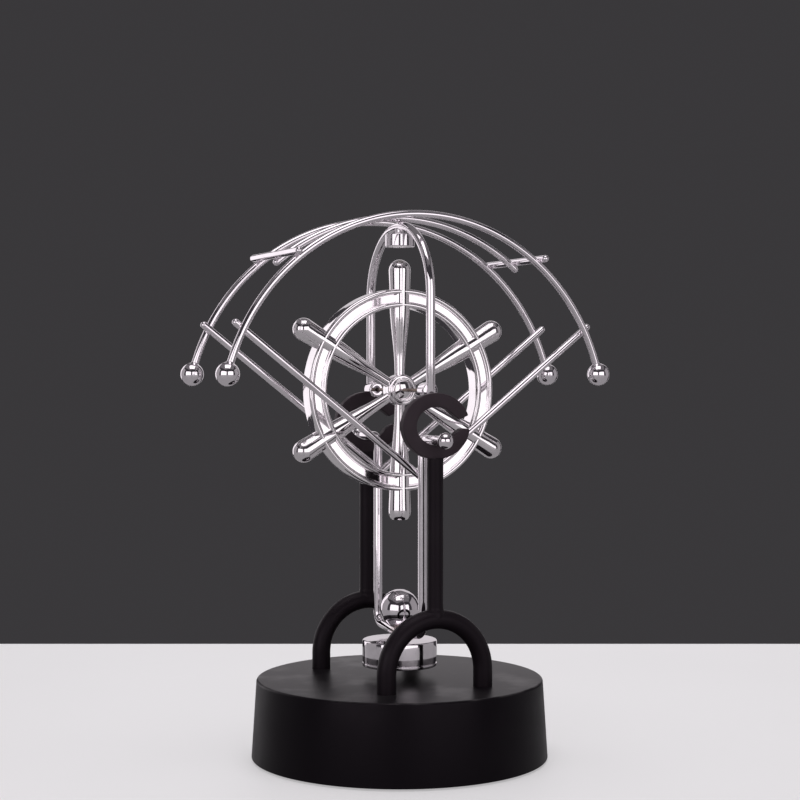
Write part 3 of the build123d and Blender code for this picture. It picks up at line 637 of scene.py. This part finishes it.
def makeYoke(k):
    path = np.vstack([[(-k["y"], k["low"])], arcPoints((0, k["arcZ"]), k["y"], 180, 0, 61),
                      [(k["y"], k["low"])]])
    piece("wheelYoke", "pendulum", finish["chrome"],
          [tube(onPlane(path, "yz"), k["r"], (1, 0, 0), sides=40)], ["wheel_yoke"])
    for name, side in (("front", -1), ("rear", 1)):
        deep = k["bossIn"] + k["recessDeep"]
        profile = roundCorners(
            [(k["boreEnd"], 0), (k["boreEnd"], k["boreR"]), (deep, k["boreR"]), (deep, k["recessR"]),
             (k["bossIn"], k["recessR"]), (k["bossIn"], k["bossR"]), (k["y"], k["bossR"]), (k["y"], 0)],
            k["bossRounding"], steps=6)
        boss = turned(profile, (0, 0, k["wheelZ"]), (0, side, 0), 56)
        piece(name + "Bearing", "pendulum", finish["chrome"], [boss], [name + "_bearing"])
    top = k["arcZ"] + k["y"] + k["stemPast"]
    inner = k["cupR"] - k["cupWall"]
    roof = k["cupHigh"] - k["cupWall"]
    profile = roundCorners(
        [(roof, 0), (roof, inner), (k["cupLow"], inner), (k["cupLow"], k["cupR"]), (k["cupHigh"], k["cupR"]),
         (k["cupHigh"], k["stemR"]), (top, k["stemR"]), (top, 0)], k["cupRounding"], steps=6)
    piece("topMagnetCup", "pendulum", finish["chrome"],
          [turned(profile, (0, 0, 0), (0, 0, 1), 72)], ["top_magnet_cup"])


makeYoke(yoke)
print("yoke, bearings and top cup made")


# ship's wheel
wheel = {"z": 124.1, "rimIn": 27.8, "rimOut": 34.0, "half": 2.6, "beadR": 0.85, "beadY": 2.6,
         "hubR": 5.2, "hubHalf": 2.7, "capR": 4.2, "capRing": 1.0, "pinR": 0.6, "pinHalf": 21.4,
         "knots": [(4.3, 1.7), (6.2, 1.7), (10.0, 1.83), (14.0, 2.12), (18.5, 2.60), (23.0, 3.05),
                   (26.5, 3.33), (30.0, 3.45), (35.0, 3.52), (37.8, 3.64), (40.25, 3.75)],
         "tip": 44.0, "domeR": 3.75, "tipFlat": 43.8, "flatDomeZ": 41.15, "magnetR": 2.1, "magnetH": 2.0,
         "faceSunk": 0.12, "faceStep": 0.35, "bandHalf": 0.8, "hubEdge": 0.7,
         "capHigh": 0.7, "capMiddle": 0.45, "capRise": 0.65, "capSunk": 0.3, "pinEdge": 0.2}


def smoothProfile(knots, steps=8):
    # Catmull-Rom through the knots, worked out for all spans at once.
    p = np.asarray(knots, float)
    p = np.vstack([2 * p[0] - p[1], p, 2 * p[-1] - p[-2]])
    t = np.linspace(0, 1, steps, endpoint=False)[None, :, None]
    a, b, c, d = (p[k:len(p) - 3 + k][:, None] for k in range(4))
    square, cube = 2 * a - 5 * b + 4 * c - d, 3 * b - a - 3 * c + d
    curve = 0.5 * (2 * b + (c - a) * t + square * t ** 2 + cube * t ** 3)
    return np.vstack([curve.reshape(-1, 2), p[-2:-1]])


def makeSpokes(w):
    names = ["right_upper", "top", "left_upper", "left_lower", "bottom", "right_lower"]
    body = smoothProfile(w["knots"])
    for index, name in enumerate(names):
        turn = math.radians(30 + 60 * index)
        domeZ = w["flatDomeZ"] if name == "bottom" else w["tip"] - w["domeR"]
        if name == "bottom":
            last = math.asin((w["tipFlat"] - domeZ) / w["domeR"])
            t = np.linspace(0, last, 12)[1:]
        else:
            t = np.linspace(0, np.pi / 2, 16)[1:]
        dome = np.stack([domeZ + w["domeR"] * np.sin(t), w["domeR"] * np.cos(t)], -1)
        profile = np.vstack([[(body[0, 0], 0)], body, dome])
        if name == "bottom":
            floorAt = w["tipFlat"] - w["magnetH"]
            pocket = [(w["tipFlat"], w["magnetR"]), (floorAt, w["magnetR"]), (floorAt, 0)]
            profile = np.vstack([profile, pocket])
        else:
            profile[-1, 1] = 0.0
        spoke = turned(profile, (0, 0, w["z"]), (math.cos(turn), 0, math.sin(turn)), 56)
        label = "".join(part.title() for part in name.split("_"))
        piece("spoke" + label, "wheel", finish["chromedPlastic"], [spoke],
              ["spoke_" + name])


def makeRim(w):
    r, y = w["beadR"], w["beadY"]
    inner = arcPoints((y, w["rimIn"] + r), r, -90, 75, 14)
    outer = arcPoints((y, w["rimOut"] - r), r, -75, 90, 14)
    flatY, past, band = w["half"] - w["faceSunk"], 2 * r + w["faceStep"], w["bandHalf"]
    flat = [(flatY, w["rimIn"] + past), (flatY, w["rimOut"] - past)]
    half = np.vstack([inner, flat, outer])
    other = half[::-1] * (-1, 1)
    profile = np.vstack([half, [(band, w["rimOut"]), (-band, w["rimOut"])], other,
                         [(-band, w["rimIn"]), (band, w["rimIn"])]])
    rim = turned(profile, (0, 0, w["z"]), (0, 1, 0), 288, loop=True)
    piece("wheelRim", "wheel", finish["chromedPlastic"], [rim], ["wheel_rim"])


def makeHub(w):
    half, r = w["hubHalf"], w["hubR"]
    profile = roundCorners([(-half, 0), (-half, r), (half, r), (half, 0)], [w["hubEdge"]] * 2, 8)
    hub = turned(profile, (0, 0, w["z"]), (0, 1, 0), 96)
    piece("wheelHub", "wheel", finish["chromedPlastic"], [hub], ["wheel_hub"])
    caps = []
    for side in (-1, 1):
        ringR = w["capRing"] / 2
        ring = arcPoints((half + w["capHigh"], w["capR"] - ringR), ringR, 90, -60, 14)
        u = np.linspace(1, 0, 14)
        edge = w["capR"] - w["capRing"]
        dome = np.stack([half + w["capMiddle"] + w["capRise"] * (1 - u ** 2), edge * u], -1)
        low = half - w["capSunk"]
        profile = np.vstack([[(low, 0), (low, w["capR"])], ring, dome])
        caps.append(turned(profile, (0, 0, w["z"]), (0, side, 0), 80))
    piece("hubCaps", "wheel", finish["chromedPlastic"], caps, ["hub_caps"])
    end = w["pinHalf"] - w["pinEdge"]
    pin = straight((0, -end, w["z"]), (0, end, w["z"]), w["pinR"], sides=28, edge=w["pinEdge"])
    piece("wheelPin", "wheel", finish["pinSteel"], [pin], ["wheel_pin"])


makeSpokes(wheel)
makeRim(wheel)
makeHub(wheel)
print("ship's wheel made")


# finishes of the CAD nodes that stay

def dress(material, *nodes):
    for node in nodes:
        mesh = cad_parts[node].data
        for index in range(len(mesh.materials)):
            mesh.materials[index] = material
        if not mesh.materials:
            mesh.materials.append(material)


cell = {"sleeveEnd": 0.0238, "bandStart": 0.0118, "fade": 0.0002, "rough": 0.26, "roughSpread": 0.15,
        "sleeve": (0.020, 0.024, 0.030), "band": (0.52, 0.30, 0.07), "can": (0.62, 0.61, 0.60)}


def cellFinish(name, turnedRound):
    # The sleeve is dark with a bright band at the plus end; past its ends the bare can shows.
    material, tree, shader, where = newFinish(name)
    y = addNode(tree, "ShaderNodeSeparateXYZ", {"Vector": where}).outputs["Y"]
    along = math1(tree, "MULTIPLY", y, -1.0 if turnedRound else 1.0)
    can = ramp(tree, math1(tree, "ABSOLUTE", y), cell["sleeveEnd"], cell["sleeveEnd"] + cell["fade"])
    band = ramp(tree, along, cell["bandStart"], cell["bandStart"] + cell["fade"])
    marks = place(tree, handling, Vector=where, Scale=80.0)
    sleeve = blendColour(tree, band, cell["sleeve"], cell["band"])
    sleeve = blendColour(tree, math1(tree, "MULTIPLY", marks["Scratch"], 0.5), sleeve, (0.35, 0.35, 0.35))
    tree.links.new(blendColour(tree, can, sleeve, cell["can"]), shader.inputs["Base Color"])
    tree.links.new(can, shader.inputs["Metallic"])
    rough = math1(tree, "MULTIPLY_ADD", marks["Smudge"], cell["roughSpread"])
    rough.node.inputs[2].default_value = cell["rough"]
    tree.links.new(rough, shader.inputs["Roughness"])
    bump(tree, shader, marks["Grain"], 0.000003)
    return material


def windingFinish():
    # Enamelled wire laid in rows: a sine down the coil's height, which is also the bump; its troughs are
    # painted dark, as painted shade between the turns.
    material, tree, shader, where = newFinish("coilCopper", Metallic=0.85)
    z = addNode(tree, "ShaderNodeSeparateXYZ", {"Vector": where}).outputs["Z"]
    wave = math1(tree, "SINE", math1(tree, "MULTIPLY", z, 2 * math.pi / 0.0003))
    height = ramp(tree, wave, -1.0, 1.0)
    uneven = noise(tree, where, 400.0, 2.0)
    # painted shade: the dark colour fills the grooves between the turns
    tone = blendColour(tree, height, (0.16, 0.045, 0.012), (0.72, 0.27, 0.10))
    tree.links.new(blendColour(tree, math1(tree, "MULTIPLY", uneven, 0.3), tone, (0.40, 0.12, 0.04)),
                   shader.inputs["Base Color"])
    tree.links.new(ramp(tree, uneven, 0.2, 0.8, 0.22, 0.42), shader.inputs["Roughness"])
    bump(tree, shader, height, 0.00006)
    return material


def boardFinish():
    # Green solder mask over copper: traces are where a stretched cell pattern has its borders, and
    # the cut edge shows the pale glass fibre.
    material, tree, shader, where = newFinish("boardGreen")
    spots = addNode(tree, "ShaderNodeTexVoronoi", {"Vector": where, "Scale": 420.0, "Randomness": 0.55},
                    feature="DISTANCE_TO_EDGE", distance="EUCLIDEAN").outputs["Distance"]
    trace = ramp(tree, spots, 0.10, 0.06)
    mask = blendColour(tree, trace, (0.010, 0.085, 0.030), (0.030, 0.20, 0.070))
    z = addNode(tree, "ShaderNodeSeparateXYZ", {"Vector": where}).outputs["Z"]
    side = ramp(tree, math1(tree, "ABSOLUTE", math1(tree, "SUBTRACT", z, 0.0212)), 0.00076, 0.00070)
    tree.links.new(blendColour(tree, side, mask, (0.42, 0.38, 0.20)), shader.inputs["Base Color"])
    uneven = ramp(tree, noise(tree, where, 300.0, 2.0), 0.3, 0.7, 0.28, 0.45)
    tree.links.new(uneven, shader.inputs["Roughness"])
    bump(tree, shader, trace, 0.00002)
    return material


def mouldedFinish(name, colour, second, rough, grainScale, grainDepth, **constant):
    # A plain moulded or pressed surface: two close tones, uneven roughness and a fine grain.
    material, tree, shader, where = newFinish(name, **constant)
    cloud = noise(tree, where, 130.0, 3.0)
    settled = place(tree, dust, Vector=where, Amount=0.15)["Dust"]
    tone = blendColour(tree, ramp(tree, cloud, 0.35, 0.65), colour, second)
    tree.links.new(blendColour(tree, settled, tone, (0.4, 0.39, 0.37)), shader.inputs["Base Color"])
    tree.links.new(ramp(tree, cloud, 0.3, 0.7, rough - 0.06, rough + 0.08), shader.inputs["Roughness"])
    bump(tree, shader, noise(tree, where, grainScale, 2.0), grainDepth)
    return material


dress(mouldedFinish("coverBlack", (0.011, 0.011, 0.012), (0.016, 0.015, 0.016),
                    rough=0.5, grainScale=1400.0, grainDepth=0.00003), "base_plate", "battery_door")
dress(mouldedFinish("padRubber", (0.030, 0.030, 0.031), (0.045, 0.044, 0.043),
                    rough=0.82, grainScale=2200.0, grainDepth=0.00004), "rubber_pads")
dress(metalFinish("screwSteel", (0.56, 0.55, 0.53), (0.36, 0.34, 0.32),
                  rough=0.28, spread=0.25, scale=260.0, ripple=0.000004),
      "plate_screws", "stand_screws", "board_screws")
dress(metalFinish("contactSteel", (0.66, 0.64, 0.60), (0.45, 0.43, 0.40),
                  rough=0.22, spread=0.22, scale=180.0, ripple=0.000003),
      "battery_contacts", "battery_springs")
dress(cellFinish("cellCan", False), "battery_1", "battery_3")
dress(cellFinish("cellCanTurned", True), "battery_2", "battery_4")
dress(mouldedFinish("bobbinWhite", (0.62, 0.60, 0.54), (0.70, 0.68, 0.63),
                    rough=0.42, grainScale=900.0, grainDepth=0.00001), "coil_bobbin")
dress(windingFinish(), "drive_coil")
dress(metalFinish("coreIron", (0.30, 0.29, 0.28), (0.20, 0.17, 0.15),
                  rough=0.38, spread=0.25, scale=240.0, ripple=0.000006), "coil_core")
dress(boardFinish(), "circuit_board")
dress(mouldedFinish("componentBlack", (0.014, 0.014, 0.015), (0.022, 0.022, 0.023),
                    rough=0.55, grainScale=3000.0, grainDepth=0.00001), "board_components")
dress(mouldedFinish("leadRed", (0.42, 0.018, 0.014), (0.50, 0.025, 0.02),
                    rough=0.38, grainScale=1200.0, grainDepth=0.000004), "board_leads")
dress(mouldedFinish("ferrite", (0.050, 0.048, 0.048), (0.075, 0.072, 0.070),
                    rough=0.5, grainScale=1800.0, grainDepth=0.00001, Metallic=0.3), "cup_magnet")
dress(metalFinish("nickelMagnet", (0.70, 0.68, 0.65), (0.52, 0.50, 0.47),
                  rough=0.16, spread=0.18, scale=220.0, ripple=0.000002), "top_magnet", "handle_magnet")
print("CAD nodes dressed")


# floor, light and camera
studio = {
    "floorWidth": 1.6, "floorBehind": 0.245, "floorAhead": 1.0, "floorTurn": -25.1,
    "floorColour": (0.36, 0.355, 0.362), "floorGlow": 0.40, "floorRough": 0.6,
    "mirroredColour": (0.07, 0.064, 0.070), "mirroredGlow": 0.21,
    "panelTint": (1.0, 0.945, 0.98), "fillTint": (1.0, 0.99, 1.0),
    "worldLight": (0.040, 0.037, 0.042), "worldSeen": (0.042, 0.040, 0.043),
    # name, azimuth and height of the panel's middle, its distance, width, height, brightness
    "panels": [("keyLeft", -57.5, 0.20, 1.15, 1.10, 0.90, 1.05),
               ("keyRight", 7.0, 0.20, 1.15, 1.10, 0.90, 1.05),
               ("sideLeft", -122.0, 0.35, 1.30, 1.00, 1.20, 0.24),
               ("sideRight", 78.0, 0.35, 1.30, 1.30, 1.20, 0.22),
               ("backLeft", -162.0, 0.40, 1.35, 0.70, 1.20, 0.85),
               ("back", 150.0, 0.45, 1.35, 1.00, 1.30, 0.48)],
    "aim": 0.14, "topAt": (-0.10, -0.22), "topAim": 0.1,
    # height, size, brightness
    "top": (1.20, 0.80, 1.20),
    "ceiling": (1.70, 3.0, 0.09),
    "fill": (1.60, 1.2, 2.8),  # lights the floor, and no gloss shows it
}
viewCamera = {"azimuth": -25.1, "distance": 0.5806, "height": 0.1284, "pitch": -0.76,
              "lens": 77.31, "sensor": 36.0, "shift": 0.0005}


def makeStudio(s):
    # the floor ends a little way behind the base, square to the view
    half, turn = s["floorWidth"] / 2, math.radians(s["floorTurn"])
    corners = np.array([(-half, -s["floorAhead"]), (half, -s["floorAhead"]), (half, s["floorBehind"]),
                        (-half, s["floorBehind"])])
    spin = np.array([(math.cos(turn), math.sin(turn)), (-math.sin(turn), math.cos(turn))])
    mesh = bpy.data.meshes.new("floor")
    mesh.from_pydata(np.column_stack([corners @ spin, np.zeros(4)]).tolist(), [], [[0, 1, 2, 3]])
    floor = bpy.data.objects.new("floor", mesh)
    material, tree, shader, where = newFinish("paleFloor", Roughness=s["floorRough"])
    tone = blendColour(tree, ramp(tree, noise(tree, where, 6.0, 2.0), 0.3, 0.7),
                       s["floorColour"], tuple(c * 0.97 for c in s["floorColour"]))
    # the chrome mirrors a duller floor than the camera sees
    direct = addNode(tree, "ShaderNodeLightPath").outputs["Is Camera Ray"]
    tree.links.new(blendColour(tree, direct, s["mirroredColour"], tone), shader.inputs["Base Color"])
    glow = addNode(tree, "ShaderNodeMapRange", {"Value": direct, "To Min": s["mirroredGlow"],
                                                "To Max": s["floorGlow"]})
    tree.links.new(glow.outputs["Result"], shader.inputs["Emission Strength"])
    shader.inputs["Emission Color"].default_value = (1.0, 0.985, 1.0, 1.0)
    mesh.materials.append(material)
    bpy.context.scene.collection.objects.link(floor)

    def area(name, width, height, bright, place, target, glossy=True):
        data = bpy.data.lights.new(name, "AREA")
        data.shape, data.size, data.size_y = "RECTANGLE", width, height
        data.energy = bright * 4 * width * height
        data.color = s["panelTint"] if glossy else s["fillTint"]
        lamp = bpy.data.objects.new(name, data)
        lamp.location = place
        lamp.rotation_euler = (Vector(target) - Vector(place)).to_track_quat("-Z", "Y").to_euler()
        lamp.visible_camera = False
        lamp.visible_glossy = glossy
        bpy.context.scene.collection.objects.link(lamp)

    for name, azimuth, high, away, width, height, bright in s["panels"]:
        a = math.radians(azimuth)
        spot = (away * math.sin(a), -away * math.cos(a), high)
        area(name, width, height, bright, spot, (0, 0, s["aim"]))
    high, size, bright = s["top"]
    area("top", size, size, bright, (*s["topAt"], high), (0, 0, s["topAim"]))
    high, size, bright = s["ceiling"]
    area("ceiling", size, size, bright, (0, 0, high), (0, 0, 0))
    high, size, bright = s["fill"]
    area("fill", size, size, bright, (0, 0, high), (0, 0, 0), glossy=False)

    world = bpy.data.worlds.new("studioWorld")
    bpy.context.scene.world = world
    world.use_nodes = True
    tree = world.node_tree
    sky = next(n for n in tree.nodes if n.type == "BACKGROUND")
    seen = addNode(tree, "ShaderNodeLightPath").outputs["Is Camera Ray"]
    tree.links.new(blendColour(tree, seen, s["worldLight"], s["worldSeen"]), sky.inputs["Color"])


def makeCamera(c):
    # Right, up and back from azimuth and pitch; the camera looks along minus back.
    a, p = math.radians(c["azimuth"]), math.radians(c["pitch"])
    level = Vector((-math.sin(a), math.cos(a), 0))
    up0 = Vector((0, 0, 1))
    ahead = level * math.cos(p) + up0 * math.sin(p)
    right = Vector((math.cos(a), math.sin(a), 0))
    up = up0 * math.cos(p) - level * math.sin(p)
    data = bpy.data.cameras.new("camera")
    data.lens, data.sensor_width, data.shift_x = c["lens"], c["sensor"], c["shift"]
    data.clip_start, data.clip_end = 0.01, 20.0
    cam = bpy.data.objects.new("camera", data)
    spot = Vector((c["distance"] * math.sin(a), -c["distance"] * math.cos(a), c["height"]))
    turn = Matrix((right, up, -ahead)).transposed()
    cam.matrix_world = Matrix.Translation(spot) @ turn.to_4x4()
    bpy.context.scene.collection.objects.link(cam)
    bpy.context.scene.camera = cam
    bpy.context.scene.view_settings.view_transform = "Standard"


makeStudio(studio)
makeCamera(viewCamera)
print("floor, light and camera made")
